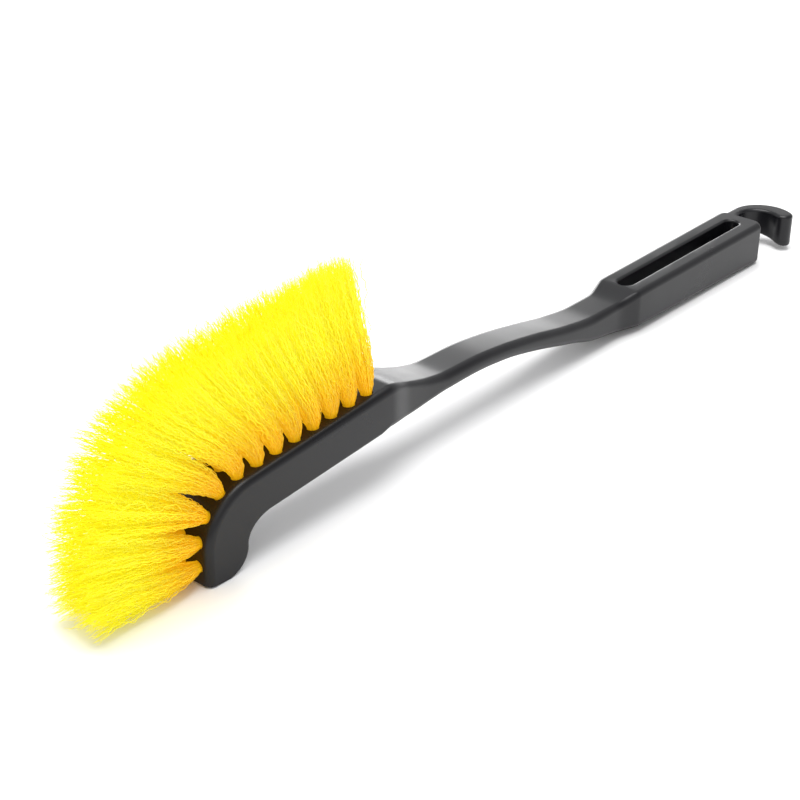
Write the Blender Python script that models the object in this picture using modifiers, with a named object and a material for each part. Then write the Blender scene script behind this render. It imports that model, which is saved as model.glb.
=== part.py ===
"""Wheel brush: a one-piece moulded body with a curved nose, an arched neck, a slotted grip
and a hook, set with rows of filament tufts, each held in its blind hole by a flat anchor.

The brush lies as it rests: +X runs from the nose to the hook, +Z is up, and the tip of the
hook points to -Y. Sizes are worked out with the nose at x = 0 and the resting plane at
z = 0, and the whole brush is then centred over the origin.
"""

import math

import bmesh
import bpy
from mathutils import Matrix, Vector

MM = 0.001

# Head
HEAD_LENGTH = 90.0 * MM
HEAD_WIDTH = 27.0 * MM
NOSE_RADIUS = 22.5 * MM
NOSE_CENTRE_HEIGHT = 10.9 * MM
FACE_SLOPE = math.radians(4.9)
FOOT_EDGE = 0.8 * MM
HEEL_REACH = 9.5 * MM
HEEL_HEIGHT = 9.0 * MM
NOSE_DEPTH = 19.0 * MM
INNER_ARC_REACH = 12.0 * MM
INNER_ARC_HEIGHT = 8.7 * MM
HEAD_BACK_DEPTH = 16.9 * MM
HEAD_TOP_EDGE = 2.0 * MM
HEAD_LOW_EDGE = 1.5 * MM

# Neck: how far along it, height of its top, thickness, half width, edge radius
NECK_LENGTH = 162.0 * MM
NECK_SHAPE = (
    (0.085, 34.3 * MM, 12.6 * MM, 10.3 * MM, 2.5 * MM),
    (0.17, 29.7 * MM, 8.7 * MM, 9.2 * MM, 3.0 * MM),
    (0.23, 28.6 * MM, 7.6 * MM, 9.0 * MM, 3.2 * MM),
    (0.34, 28.2 * MM, 7.0 * MM, 9.0 * MM, 3.2 * MM),
    (0.45, 26.5 * MM, 6.8 * MM, 8.9 * MM, 3.2 * MM),
    (0.585, 22.9 * MM, 7.5 * MM, 8.7 * MM, 3.2 * MM),
    (0.72, 18.7 * MM, 8.8 * MM, 8.8 * MM, 3.2 * MM),
    (0.83, 16.7 * MM, 11.6 * MM, 8.7 * MM, 3.0 * MM),
    (0.915, 16.7 * MM, 13.5 * MM, 8.6 * MM, 2.8 * MM),
)
NECK_STATIONS = 20

# Grip
GRIP_LENGTH = 98.5 * MM
GRIP_START_WIDTH = 22.2 * MM
GRIP_END_WIDTH = 23.2 * MM
GRIP_START_TOP = 19.2 * MM
GRIP_END_TOP = 19.8 * MM
GRIP_START_LIFT = 2.2 * MM
GRIP_EDGE = 2.6 * MM
END_CORNER = 2.5 * MM
SLOT_WIDTH = 7.2 * MM
SLOT_END_WALL = 6.0 * MM
SLOT_START_WALL = 0.4 * MM
END_STATIONS = 3

# Hook
HOOK_RADIUS = 15.5 * MM
HOOK_GAP = 19.4 * MM
HOOK_WALL = 5.2 * MM
HOOK_TIP_ANGLE = math.radians(30.0)
HOOK_NOTCH_ANGLE = math.radians(12.0)
HOOK_TOP_STEP = 2.3 * MM
HOOK_LIFT = 5.0 * MM
HOOK_TILT = math.radians(12.9)
HOOK_EDGE = 1.5 * MM
HOOK_ROOT = 10.0 * MM
HOOK_INSET = 0.2 * MM

# Tufts
TUFTS_ALONG = 12
ROWS = "abc"
TUFT_PITCH = 9.0 * MM
ROW_PITCH = 8.0 * MM
FIRST_TUFT_HEIGHT = 7.2 * MM
TUFT_DIAMETER = 4.4 * MM
TUFT_DEPTH = 6.7 * MM
FLARE_HEIGHT = 8.0 * MM
FLARE_DIAMETER = 7.0 * MM
BLOCK_TIP_SPREAD = 1.2 * MM
BLOCK_EDGE = 1.2 * MM
ROW_GAP = 0.5 * MM

# Fan of the tufts: which tuft along, how far its tips lean forward, how far they reach
FAN = (
    (-0.5, math.radians(91.0), 46.5 * MM),
    (1.0, math.radians(74.0), 47.0 * MM),
    (3.0, math.radians(51.0), 50.0 * MM),
    (5.0, math.radians(36.0), 52.0 * MM),
    (8.0, math.radians(23.0), 48.0 * MM),
    (11.5, math.radians(7.0), 46.5 * MM),
)

# Anchors
ANCHOR_HEIGHT = 2.0 * MM
ANCHOR_THICKNESS = 0.5 * MM
ANCHOR_BITE = 0.4 * MM
FOLD_THICKNESS = 1.0 * MM

CLEARANCE = 0.3 * MM
OVERLAP = 1.0 * MM
MERGE = 0.01 * MM
CORNER_STEPS = 4
NOSE_STEPS = 10
HEEL_STEPS = 5
ARC_STEPS = 12
GAP_STEPS = 16
TIP_STEPS = 6
ROUND_SIDES = 12

NECK_END = HEAD_LENGTH + NECK_LENGTH
GRIP_END = NECK_END + GRIP_LENGTH
NOSE_TURN = math.pi / 2 - FACE_SLOPE
HOLE_DIAMETER = TUFT_DIAMETER + 2 * CLEARANCE
HOLE_DEPTH = TUFT_DEPTH + CLEARANCE
ANCHOR_LENGTH = HOLE_DIAMETER + 2 * ANCHOR_BITE
ANCHOR_SEAT = -TUFT_DEPTH + FOLD_THICKNESS + ANCHOR_HEIGHT / 2


def make_collection(name):
    collection = bpy.data.collections.new(name)
    bpy.context.scene.collection.children.link(collection)
    return collection


def make_material(name, colour, roughness, metallic):
    material = bpy.data.materials.new(name)
    material.use_nodes = True
    shader = material.node_tree.nodes["Principled BSDF"]
    shader.inputs["Base Color"].default_value = (*colour, 1.0)
    shader.inputs["Roughness"].default_value = roughness
    shader.inputs["Metallic"].default_value = metallic
    return material


def add_object(name, mesh, collection, parent, material=None):
    piece = bpy.data.objects.new(name, mesh)
    collection.objects.link(piece)
    piece.parent = parent
    if material:
        mesh.materials.append(material)
    return piece


def add_tool(name, mesh, collection, parent):
    tool = add_object(name, mesh, collection, parent)
    tool.hide_render = True
    tool.display_type = "WIRE"
    return tool


def add_boolean(piece, tool, operation):
    modifier = piece.modifiers.new(tool.name, "BOOLEAN")
    modifier.operation = operation
    modifier.solver = "EXACT"
    modifier.object = tool


def face_frame(distance):
    """Point, direction and outward normal of the tufted face, by distance up from its foot."""
    if distance <= NOSE_CENTRE_HEIGHT:
        return Vector((0, 0, distance)), Vector((0, 0, 1)), Vector((-1, 0, 0))
    turn = min((distance - NOSE_CENTRE_HEIGHT) / NOSE_RADIUS, NOSE_TURN)
    normal = Vector((-math.cos(turn), 0, math.sin(turn)))
    along = Vector((math.sin(turn), 0, math.cos(turn)))
    point = Vector((NOSE_RADIUS, 0, NOSE_CENTRE_HEIGHT)) + normal * NOSE_RADIUS
    past = distance - NOSE_CENTRE_HEIGHT - NOSE_RADIUS * NOSE_TURN
    if past > 0:
        point += along * past
    return point, along, normal


def rounded_section(top, low, half_width, top_edge, low_edge):
    """Ring of points of a rounded rectangle that stands between two points of the profile."""
    depth = (top - low).length
    corners = (
        (1, depth, top_edge, 0.0),
        (-1, depth, top_edge, math.pi / 2),
        (-1, 0.0, low_edge, math.pi),
        (1, 0.0, low_edge, 1.5 * math.pi),
    )
    ring = []
    for side, height, radius, start in corners:
        centre_y = side * (half_width - radius)
        centre_v = height - radius if height else radius
        for step in range(CORNER_STEPS + 1):
            angle = start + step / CORNER_STEPS * math.pi / 2
            y = centre_y + radius * math.cos(angle)
            v = centre_v + radius * math.sin(angle)
            ring.append(low + (top - low) * (v / depth) + Vector((0, y, 0)))
    return ring


def smooth_value(knots, values, at):
    """Value of a curve that passes through the knots and never overshoots between them."""
    slopes = [(values[i + 1] - values[i]) / (knots[i + 1] - knots[i]) for i in range(len(knots) - 1)]
    tangents = [slopes[0]]
    for before, after in zip(slopes, slopes[1:]):
        together = before * after > 0
        tangents.append(2 * before * after / (before + after) if together else 0.0)
    tangents.append(slopes[-1])
    i = max(k for k in range(len(slopes)) if k == 0 or knots[k] <= at)
    span = knots[i + 1] - knots[i]
    t = (at - knots[i]) / span
    return (
        values[i] * (2 * t**3 - 3 * t**2 + 1)
        + values[i + 1] * (3 * t**2 - 2 * t**3)
        + tangents[i] * span * (t**3 - 2 * t**2 + t)
        + tangents[i + 1] * span * (t**3 - t**2)
    )


def straight_face_height(x):
    """Height of the straight stretch of the tufted face."""
    start = face_frame(NOSE_CENTRE_HEIGHT + NOSE_RADIUS * NOSE_TURN)[0]
    return start.z + (x - start.x) * math.tan(FACE_SLOPE)


def head_sections():
    half = HEAD_WIDTH / 2
    sections = []
    for step in range(HEEL_STEPS + 1):
        share = step / (HEEL_STEPS + 1)
        angle = share * math.pi / 2
        inset = 0.0 if step else FOOT_EDGE
        top = Vector((inset, 0, share * NOSE_CENTRE_HEIGHT))
        low_x = NOSE_DEPTH - HEEL_REACH + HEEL_REACH * math.sin(angle)
        low = Vector((low_x, 0, HEEL_HEIGHT * (1 - math.cos(angle))))
        sections.append((top, low, half - inset, HEAD_TOP_EDGE, HEAD_LOW_EDGE))
    for step in range(NOSE_STEPS + 1):
        turn = step / NOSE_STEPS * NOSE_TURN
        top = face_frame(NOSE_CENTRE_HEIGHT + NOSE_RADIUS * turn)[0]
        low_x = NOSE_DEPTH + INNER_ARC_REACH * (1 - math.cos(turn))
        low = Vector((low_x, 0, HEEL_HEIGHT + INNER_ARC_HEIGHT * math.sin(turn)))
        sections.append((top, low, half, HEAD_TOP_EDGE, HEAD_LOW_EDGE))
    return sections


def back_sections():
    """Neck and grip: upright sections along X."""
    knots = [HEAD_LENGTH]
    rows = [(straight_face_height(HEAD_LENGTH), HEAD_BACK_DEPTH, HEAD_WIDTH / 2, HEAD_TOP_EDGE)]
    for share, *row in NECK_SHAPE:
        knots.append(HEAD_LENGTH + share * NECK_LENGTH)
        rows.append(row)
    knots.append(NECK_END)
    rows.append((GRIP_START_TOP, GRIP_START_TOP - GRIP_START_LIFT, GRIP_START_WIDTH / 2, GRIP_EDGE))
    knots.append(GRIP_END)
    rows.append((GRIP_END_TOP, GRIP_END_TOP, GRIP_END_WIDTH / 2, GRIP_EDGE))
    columns = list(zip(*rows))
    places = [HEAD_LENGTH + step / NECK_STATIONS * NECK_LENGTH for step in range(NECK_STATIONS + 1)]
    turns = [k / END_STATIONS * math.pi / 2 for k in range(END_STATIONS + 1)]
    places += [GRIP_END - END_CORNER * (1 - math.sin(turn)) for turn in turns]
    sections = []
    for x in places:
        if x > NECK_END:
            share = (x - NECK_END) / GRIP_LENGTH
            height, depth, half, edge = [a + (b - a) * share for a, b in zip(rows[-2], rows[-1])]
        else:
            height, depth, half, edge = [smooth_value(knots[:-1], c[:-1], x) for c in columns]
        into_corner = max(x - (GRIP_END - END_CORNER), 0.0) / END_CORNER
        half -= END_CORNER * (1 - math.sqrt(max(1 - into_corner**2, 0.0)))
        top = Vector((x, 0, height))
        sections.append((top, top - Vector((0, 0, depth)), half, edge, edge))
    return sections


def loft_mesh(name, rings):
    """Closed skin through unlike sections, with a flat cap at each end."""
    bm = bmesh.new()
    loops = [[bm.verts.new(point) for point in ring] for ring in rings]
    count = len(loops[0])
    for near, far in zip(loops, loops[1:]):
        for i in range(count):
            j = (i + 1) % count
            bm.faces.new((near[i], near[j], far[j], far[i]))
    bm.faces.new(list(reversed(loops[0])))
    bm.faces.new(loops[-1])
    bmesh.ops.recalc_face_normals(bm, faces=bm.faces)
    mesh = bpy.data.meshes.new(name)
    bm.to_mesh(mesh)
    bm.free()
    return mesh


def outline_mesh(name, points, half_thickness, edge=0.0, tilt=0.0):
    """A flat outline drawn as a 2D curve and thickened, as a welded mesh.

    Its edges are rounded, and its lower face rises towards +Y by the tilt.
    """
    curve = bpy.data.curves.new(name, "CURVE")
    curve.dimensions = "2D"
    curve.fill_mode = "BOTH"
    curve.extrude = half_thickness - edge
    curve.bevel_depth = edge
    curve.bevel_resolution = 1
    curve.offset = -edge
    spline = curve.splines.new("POLY")
    spline.points.add(len(points) - 1)
    for slot, (x, y) in zip(spline.points, points):
        slot.co = (x, y, 0, 1)
    spline.use_cyclic_u = True
    drawing = bpy.data.objects.new(name, curve)
    bpy.context.scene.collection.objects.link(drawing)
    graph = bpy.context.evaluated_depsgraph_get()
    mesh = bpy.data.meshes.new_from_object(drawing.evaluated_get(graph))
    bpy.data.objects.remove(drawing)
    bpy.data.curves.remove(curve)
    bm = bmesh.new()
    bm.from_mesh(mesh)
    bmesh.ops.remove_doubles(bm, verts=bm.verts, dist=MERGE)
    for vertex in bm.verts:
        if vertex.co.z < 0:
            vertex.co.z += vertex.co.y * math.tan(tilt)
    bmesh.ops.recalc_face_normals(bm, faces=bm.faces)
    bm.to_mesh(mesh)
    bm.free()
    return mesh


def arc_points(centre, radius, start, end, steps=ARC_STEPS):
    return [
        (
            centre[0] + radius * math.cos(start + (end - start) * k / steps),
            centre[1] + radius * math.sin(start + (end - start) * k / steps),
        )
        for k in range(steps + 1)
    ]


def hook_outline():
    """The hook from above: a strip of the far wall, bent round the gap to a rounded tip.

    The inner arc runs on until it meets the grip's end face, which it leaves as a round notch.
    """
    gap_radius = HOOK_GAP / 2
    outside = GRIP_END_WIDTH / 2 - HOOK_INSET
    outer_centre = (GRIP_END + gap_radius + HOOK_WALL / 2, outside - HOOK_RADIUS)
    inner_centre = (GRIP_END + gap_radius, outside - HOOK_WALL - gap_radius)
    outer = arc_points(outer_centre, HOOK_RADIUS, math.pi / 2, -HOOK_TIP_ANGLE)
    inner = arc_points(inner_centre, gap_radius, -HOOK_TIP_ANGLE, math.pi - HOOK_NOTCH_ANGLE, GAP_STEPS)
    tip_centre = ((outer[-1][0] + inner[0][0]) / 2, (outer[-1][1] + inner[0][1]) / 2)
    across = (outer[-1][0] - inner[0][0], outer[-1][1] - inner[0][1])
    tip_start = math.atan2(across[1], across[0])
    tip = arc_points(tip_centre, math.hypot(*across) / 2, tip_start, tip_start - math.pi, TIP_STEPS)
    wall_x = GRIP_END - SLOT_END_WALL / 2
    wall = [(wall_x, inner[-1][1]), (wall_x, outside - HOOK_WALL)]
    root_x = GRIP_END - HOOK_ROOT
    start = [(root_x, outside - HOOK_WALL), (root_x, outside)]
    return start + outer + tip[1:-1] + inner + wall


def slot_outline():
    radius = SLOT_WIDTH / 2
    front = (NECK_END + SLOT_START_WALL + radius, 0.0)
    back = (GRIP_END - SLOT_END_WALL - radius, 0.0)
    quarter = math.pi / 2
    return arc_points(back, radius, -quarter, quarter) + arc_points(front, radius, quarter, 3 * quarter)


def cylinder_mesh(name, radius, low, high):
    bm = bmesh.new()
    bmesh.ops.create_cone(
        bm,
        cap_ends=True,
        segments=ROUND_SIDES,
        radius1=radius,
        radius2=radius,
        depth=high - low,
        matrix=Matrix.Translation((0, 0, (low + high) / 2)),
    )
    mesh = bpy.data.meshes.new(name)
    bm.to_mesh(mesh)
    bm.free()
    return mesh


def box_mesh(name, size, centre):
    bm = bmesh.new()
    bmesh.ops.create_cube(bm, matrix=Matrix.Translation(centre) @ Matrix.Diagonal((*size, 1.0)))
    mesh = bpy.data.meshes.new(name)
    bm.to_mesh(mesh)
    bm.free()
    return mesh


def tuft_distance(at):
    return FIRST_TUFT_HEIGHT + at * TUFT_PITCH


def tuft_places():
    for index in range(TUFTS_ALONG):
        point, along, normal = face_frame(tuft_distance(index))
        for row in range(len(ROWS)):
            y = (row - (len(ROWS) - 1) / 2) * ROW_PITCH
            turn = Matrix((along, normal.cross(along), normal)).transposed().to_4x4()
            yield index, row, Matrix.Translation(point + Vector((0, y, 0))) @ turn


def stem_mesh():
    """Profile of one tuft from its folded root to where it meets its neighbours."""
    root = TUFT_DIAMETER / 2
    flare = FLARE_DIAMETER / 2
    profile = (
        (0.0, FLARE_HEIGHT),
        (flare, FLARE_HEIGHT),
        (root, CLEARANCE),
        (root, -TUFT_DEPTH),
        (0.0, -TUFT_DEPTH),
    )
    mesh = bpy.data.meshes.new("stem_profile")
    edges = [(k, k + 1) for k in range(len(profile) - 1)]
    mesh.from_pydata([(x, 0, z) for x, z in profile], edges, [])
    return mesh


def fan_point(at):
    """Where the tips end, for a tuft at any place along the fan."""
    knots, leans, lengths = zip(*FAN)
    lean = smooth_value(knots, leans, at)
    root = face_frame(tuft_distance(at))[0]
    return root + Vector((-math.sin(lean), 0, math.cos(lean))) * smooth_value(knots, lengths, at)


def block_mesh(index):
    """The merged filaments of one row across the head, above the separate stems."""
    half_row = 0.5 - ROW_GAP / TUFT_PITCH / 2
    bm = bmesh.new()
    corners = bmesh.ops.create_cube(bm, size=2.0)["verts"]
    half_low = (len(ROWS) - 1) / 2 * ROW_PITCH + FLARE_DIAMETER / 2
    for corner in corners:
        side, across, up = corner.co
        at = index + side * half_row
        if up > 0:
            corner.co = fan_point(at) + Vector((0, across * (half_low + BLOCK_TIP_SPREAD), 0))
        else:
            point, _, normal = face_frame(tuft_distance(at))
            corner.co = point + normal * (FLARE_HEIGHT - OVERLAP) + Vector((0, across * half_low, 0))
    bmesh.ops.recalc_face_normals(bm, faces=bm.faces)
    mesh = bpy.data.meshes.new("tuft_block")
    bm.to_mesh(mesh)
    bm.free()
    return mesh


def build_body(parts, tools, root, material):
    rings = [rounded_section(*section) for section in head_sections() + back_sections()]
    body = add_object("brush_body", loft_mesh("brush_body", rings), parts, root, material)

    top = GRIP_END_TOP - HOOK_TOP_STEP
    half = (top - HOOK_LIFT) / 2
    hook_mesh = outline_mesh("hook_blank", hook_outline(), half, HOOK_EDGE, HOOK_TILT)
    hook = add_tool("hook_blank", hook_mesh, tools, root)
    hook.location.z = (top + HOOK_LIFT) / 2
    add_boolean(body, hook, "UNION")

    slot_mesh = outline_mesh("slot_cutter", slot_outline(), GRIP_END_TOP)
    slot = add_tool("slot_cutter", slot_mesh, tools, root)
    slot.location.z = GRIP_END_TOP / 2
    add_boolean(body, slot, "DIFFERENCE")
    return body


def build_tufts(parts, tools, root, filament, steel):
    """Every tuft row, its anchors, and the cutters of the holes that hold them."""
    rows = []
    for index in range(TUFTS_ALONG):
        name = f"tuft_row_{index + 1:02d}"
        row = add_object(name, block_mesh(index), parts, root, filament)
        edge = row.modifiers.new("edge", "BEVEL")
        edge.width = BLOCK_EDGE
        edge.segments = 1
        rows.append(row)

    stem = stem_mesh()
    hole = cylinder_mesh("hole", HOLE_DIAMETER / 2, -HOLE_DEPTH, FLARE_HEIGHT)
    seat = (0, 0, ANCHOR_SEAT)
    anchor_size = (ANCHOR_THICKNESS, ANCHOR_LENGTH, ANCHOR_HEIGHT)
    pocket = box_mesh("pocket", [side + 2 * CLEARANCE for side in anchor_size], seat)
    anchor = box_mesh("anchor", anchor_size, seat)
    anchor.materials.append(steel)
    holes = bpy.data.collections.new("hole_cutters")
    tools.children.link(holes)
    for index, row, place in tuft_places():
        label = f"{index + 1:02d}_{ROWS[row]}"
        stem_tool = add_tool(f"stem_{label}", stem, tools, root)
        stem_tool.matrix_local = place
        turn = stem_tool.modifiers.new("turn", "SCREW")
        turn.steps = turn.render_steps = ROUND_SIDES
        turn.use_merge_vertices = True
        turn.merge_threshold = MERGE
        pocket_tool = add_tool(f"pocket_{label}", pocket, holes, root)
        pocket_tool.matrix_local = place
        hole_tool = add_tool(f"hole_{label}", hole, holes, root)
        hole_tool.matrix_local = place
        add_boolean(rows[index], stem_tool, "UNION")
        add_boolean(rows[index], pocket_tool, "DIFFERENCE")
        anchor_piece = add_object(f"anchor_{label}", anchor, parts, root)
        anchor_piece.matrix_local = place
    return holes


def centre_over_origin(parts, root):
    """Put the middle of the finished brush over the origin, without lifting it."""
    bpy.context.view_layer.update()
    graph = bpy.context.evaluated_depsgraph_get()
    corners = []
    for piece in parts.objects:
        if piece.type == "MESH":
            seen = piece.evaluated_get(graph)
            corners += [seen.matrix_world @ vertex.co for vertex in seen.data.vertices]
    root.location.x = -(min(c.x for c in corners) + max(c.x for c in corners)) / 2
    root.location.y = -(min(c.y for c in corners) + max(c.y for c in corners)) / 2


def main():
    for old in list(bpy.data.objects):
        bpy.data.objects.remove(old)
    parts = make_collection("wheel_brush")
    tools = make_collection("cutters")
    root = bpy.data.objects.new("brush_origin", None)
    parts.objects.link(root)

    plastic = make_material("black_plastic", (0.012, 0.012, 0.014), 0.38, 0.0)
    filament = make_material("yellow_filament", (0.95, 0.78, 0.02), 0.45, 0.0)
    steel = make_material("anchor_steel", (0.55, 0.55, 0.56), 0.35, 1.0)

    body = build_body(parts, tools, root, plastic)
    holes = build_tufts(parts, tools, root, filament, steel)
    drill = body.modifiers.new("tuft_holes", "BOOLEAN")
    drill.operation = "DIFFERENCE"
    drill.solver = "EXACT"
    drill.operand_type = "COLLECTION"
    drill.collection = holes
    centre_over_origin(parts, root)


main()
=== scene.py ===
"""Wheel brush: the moulded body, its thirty-six tufts of crimped filament and their anchors.

The body is lofted along the same design as the frame, with finer sections, and then gets its
hook, its slot with rounded rims and its tuft holes. A tuft is a bundle of folded filaments:
each one runs down into its hole, round under the flat anchor and out again.
Lengths in the settings are in metres and angles in radians.
"""

import math

import bmesh
import bpy
import numpy as np
from mathutils import Matrix, Vector


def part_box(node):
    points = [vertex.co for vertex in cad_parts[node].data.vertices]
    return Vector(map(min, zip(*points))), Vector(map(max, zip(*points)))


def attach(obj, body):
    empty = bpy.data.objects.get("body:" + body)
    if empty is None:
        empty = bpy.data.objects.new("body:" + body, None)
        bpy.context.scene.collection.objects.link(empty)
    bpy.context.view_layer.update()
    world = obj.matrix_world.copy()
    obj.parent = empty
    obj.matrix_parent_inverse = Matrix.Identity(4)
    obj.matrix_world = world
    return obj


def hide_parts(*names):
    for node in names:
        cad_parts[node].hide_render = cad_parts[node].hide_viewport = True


bl_info = {
    "name": "Wheel brush",
    "version": (1, 0, 0),
    "blender": (4, 5, 0),
    "location": "View3D > Sidebar > Wheel brush",
    "description": "Builds a wheel brush with a moulded body and crimped filament tufts",
    "category": "Add Mesh",
}

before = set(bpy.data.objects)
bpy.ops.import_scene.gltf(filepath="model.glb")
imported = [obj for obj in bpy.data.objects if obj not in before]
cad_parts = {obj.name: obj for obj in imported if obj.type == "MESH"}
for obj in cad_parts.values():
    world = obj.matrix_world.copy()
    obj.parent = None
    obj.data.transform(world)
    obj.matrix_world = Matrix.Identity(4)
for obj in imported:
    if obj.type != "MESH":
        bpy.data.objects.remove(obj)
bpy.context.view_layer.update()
body_low, body_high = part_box("brush_body")

MM = 0.001

# Head
HEAD_LENGTH = 90.0 * MM
HEAD_WIDTH = 27.0 * MM
NOSE_RADIUS = 22.5 * MM
NOSE_CENTRE_HEIGHT = 10.9 * MM
FACE_SLOPE = math.radians(4.9)
FOOT_EDGE = 0.8 * MM
HEEL_REACH = 9.5 * MM
HEEL_HEIGHT = 9.0 * MM
NOSE_DEPTH = 19.0 * MM
INNER_ARC_REACH = 12.0 * MM
INNER_ARC_HEIGHT = 8.7 * MM
HEAD_BACK_DEPTH = 16.9 * MM
HEAD_TOP_EDGE = 3.0 * MM
HEAD_LOW_EDGE = 1.5 * MM
HEAD_TAIL = 8.0 * MM

# Neck: how far along it, height of its top, thickness, half width, edge radius
NECK_LENGTH = 162.0 * MM
NECK_SHAPE = (
    (0.085, 34.5 * MM, 13.8 * MM, 10.3 * MM, 2.5 * MM),
    (0.17, 30.2 * MM, 9.6 * MM, 9.2 * MM, 3.0 * MM),
    (0.23, 28.6 * MM, 7.6 * MM, 9.0 * MM, 3.2 * MM),
    (0.34, 28.2 * MM, 7.0 * MM, 9.0 * MM, 3.2 * MM),
    (0.45, 26.5 * MM, 6.8 * MM, 8.9 * MM, 3.2 * MM),
    (0.585, 22.9 * MM, 7.5 * MM, 8.7 * MM, 3.2 * MM),
    (0.72, 18.7 * MM, 8.8 * MM, 8.8 * MM, 3.2 * MM),
    (0.83, 16.7 * MM, 11.6 * MM, 8.7 * MM, 3.0 * MM),
    (0.915, 16.7 * MM, 13.5 * MM, 8.6 * MM, 2.8 * MM),
)

# Grip and hook
GRIP_LENGTH = 98.5 * MM
GRIP_START_WIDTH = 22.2 * MM
GRIP_END_WIDTH = 23.2 * MM
GRIP_START_TOP = 19.2 * MM
GRIP_END_TOP = 19.8 * MM
GRIP_START_LIFT = 2.2 * MM
GRIP_EDGE = 2.6 * MM
END_CORNER = 2.5 * MM
SLOT_WIDTH = 7.2 * MM
SLOT_END_WALL = 6.0 * MM
SLOT_START_WALL = 0.4 * MM
HOOK_RADIUS = 15.5 * MM
HOOK_GAP = 19.4 * MM
HOOK_WALL = 5.2 * MM
HOOK_TIP_ANGLE = math.radians(30.0)
HOOK_NOTCH_ANGLE = math.radians(12.0)
HOOK_TOP_STEP = 2.3 * MM
HOOK_LIFT = 5.0 * MM
HOOK_TILT = math.radians(12.9)
HOOK_EDGE = 1.5 * MM
HOOK_ROOT = 10.0 * MM
HOOK_INSET = 0.2 * MM

# Tufts and anchors
TUFTS_ALONG = 12
ROWS = "abc"
TUFT_PITCH = 9.0 * MM
ROW_PITCH = 8.0 * MM
FIRST_TUFT_HEIGHT = 7.2 * MM
TUFT_DIAMETER = 4.4 * MM
HOLE_DIAMETER = 5.0 * MM
HOLE_DEPTH = 7.0 * MM
HOLE_CLEAR = 4.0 * MM
FOLD_DEPTH = 6.45 * MM
FOLD_SCATTER = 0.5 * MM
ANCHOR_LOW = 5.5 * MM
ANCHOR_HIGH = 3.6 * MM
ANCHOR_PASS = 0.42 * MM

# Fan of the tufts: which tuft along, how far its tips lean forward, how far they reach
FAN = (
    (-0.5, math.radians(89.0), 44.5 * MM),
    (1.0, math.radians(74.0), 46.5 * MM),
    (3.0, math.radians(51.0), 50.0 * MM),
    (5.0, math.radians(36.0), 52.0 * MM),
    (8.0, math.radians(24.0), 49.0 * MM),
    (11.5, math.radians(9.5), 50.0 * MM),
)

# Fineness of the meshes
HEEL_STEPS = 14
NOSE_STEPS = 40
FACE_STEPS = 12
NECK_STATIONS = 96
GRIP_STATIONS = 8
END_STATIONS = 8
CORNER_STEPS = 7
ARC_STEPS = 48
RIM_STEPS = 5
HOLE_SIDES = 28
EDGE_STEPS = 4
WELD = 0.01 * MM
CUT_PAST = 1.0 * MM
SHARP_ANGLE = math.radians(38.0)

NECK_END = HEAD_LENGTH + NECK_LENGTH
GRIP_END = NECK_END + GRIP_LENGTH
NOSE_TURN = math.pi / 2 - FACE_SLOPE
BAKE_MAP = "OFBake"


class BodySettings(bpy.types.PropertyGroup):
    """Looks of the moulded body."""

    colour: bpy.props.FloatVectorProperty(
        name="Colour",
        description="Colour of the moulded plastic",
        subtype="COLOR",
        size=3,
        min=0.0,
        max=1.0,
        default=(0.006, 0.006, 0.0075),
    )
    roughness: bpy.props.FloatProperty(
        name="Roughness",
        description="Roughness of the satin surface",
        subtype="FACTOR",
        min=0.0,
        max=1.0,
        default=0.3,
    )
    grain_depth: bpy.props.FloatProperty(
        name="Grain depth",
        description="Strength of the fine moulded grain",
        subtype="FACTOR",
        min=0.0,
        max=1.0,
        default=0.12,
    )
    rim_radius: bpy.props.FloatProperty(
        name="Slot rim radius",
        description="Radius of the rounded rims of the slot",
        subtype="DISTANCE",
        unit="LENGTH",
        min=0.0002,
        max=0.0025,
        default=0.0012,
    )


class TuftSettings(bpy.types.PropertyGroup):
    """Sizes and colours of the tufts."""

    filaments: bpy.props.IntProperty(
        name="Filaments",
        description="Folded filaments in one tuft; each gives two ends",
        min=10,
        max=200,
        default=88,
    )
    filament_diameter: bpy.props.FloatProperty(
        name="Filament diameter",
        description="Thickness of one filament",
        subtype="DISTANCE",
        unit="LENGTH",
        min=0.0001,
        max=0.0006,
        default=0.0003,
    )
    crimp_length: bpy.props.FloatProperty(
        name="Crimp length",
        description="Length of one wave of the crimp",
        subtype="DISTANCE",
        unit="LENGTH",
        min=0.002,
        max=0.02,
        default=0.0040,
    )
    crimp_height: bpy.props.FloatProperty(
        name="Crimp height",
        description="How far the crimp's waves swing to either side",
        subtype="DISTANCE",
        unit="LENGTH",
        min=0.0,
        max=0.001,
        default=0.00024,
    )
    seed: bpy.props.IntProperty(
        name="Seed",
        description="Start of the random draws of the filaments",
        default=11,
    )
    # Deeper orange than the tip colour: painted shade of the depth between the tufts, over the filaments'
    # own yellow.
    shaded_root_colour: bpy.props.FloatVectorProperty(
        name="Root colour",
        description="Colour of the filaments at the face",
        subtype="COLOR",
        size=3,
        min=0.0,
        max=1.0,
        default=(0.95, 0.56, 0.006),
    )
    tip_colour: bpy.props.FloatVectorProperty(
        name="Tip colour",
        description="Colour of the filaments at their frayed ends",
        subtype="COLOR",
        size=3,
        min=0.0,
        max=1.0,
        default=(1.0, 0.93, 0.018),
    )


class AnchorSettings(bpy.types.PropertyGroup):
    """Looks of the anchors."""

    colour: bpy.props.FloatVectorProperty(
        name="Colour",
        description="Colour of the flat steel wire",
        subtype="COLOR",
        size=3,
        min=0.0,
        max=1.0,
        default=(0.55, 0.55, 0.56),
    )


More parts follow.
